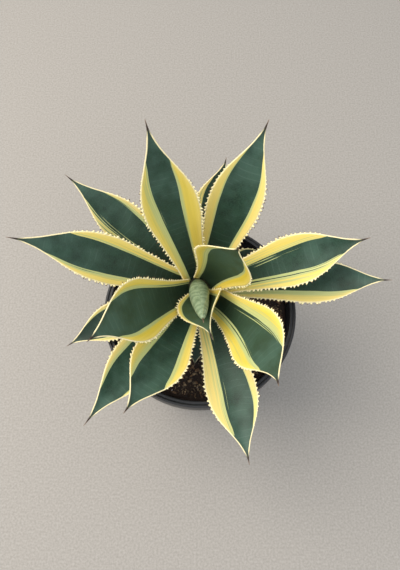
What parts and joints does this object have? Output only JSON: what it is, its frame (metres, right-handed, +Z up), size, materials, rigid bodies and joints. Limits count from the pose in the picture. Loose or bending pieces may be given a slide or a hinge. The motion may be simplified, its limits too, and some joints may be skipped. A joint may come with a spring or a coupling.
{
  "type": "potted agave",
  "caption": "Variegated agave rosette with toothed yellow-edged leaves and a rolled central spear, growing in a round black nursery pot.",
  "frame": {"origin": "centre of the pot's flat underside", "axes": "+Z up out of the pot; the rosette leans towards -Y, which is the front"},
  "size_m": [0.3881, 0.3304, 0.4319],
  "materials": {
    "pot_plastic": "injection-moulded black polypropylene with a soft grey sheen",
    "soil": "damp potting mix of composted bark and coir",
    "stem": "short corky stem with leaf scars",
    "spear": "pale waxy young leaf, still rolled",
    "leaf": "waxy blue-green blade with wide cream-yellow margins and hooked teeth"
  },
  "bodies": {
    "root": {"pot": "pot_plastic", "potting_soil": "soil", "stem": "stem", "central_spear": "spear", "leaf_01": "leaf", "leaf_02": "leaf", "leaf_03": "leaf", "leaf_04": "leaf", "leaf_05": "leaf", "leaf_06": "leaf", "leaf_07": "leaf", "leaf_08": "leaf", "leaf_09": "leaf", "leaf_10": "leaf", "leaf_11": "leaf", "leaf_12": "leaf", "leaf_13": "leaf", "leaf_14": "leaf", "leaf_15": "leaf", "leaf_16": "leaf", "leaf_17": "leaf"}
  },
  "joints": []
}
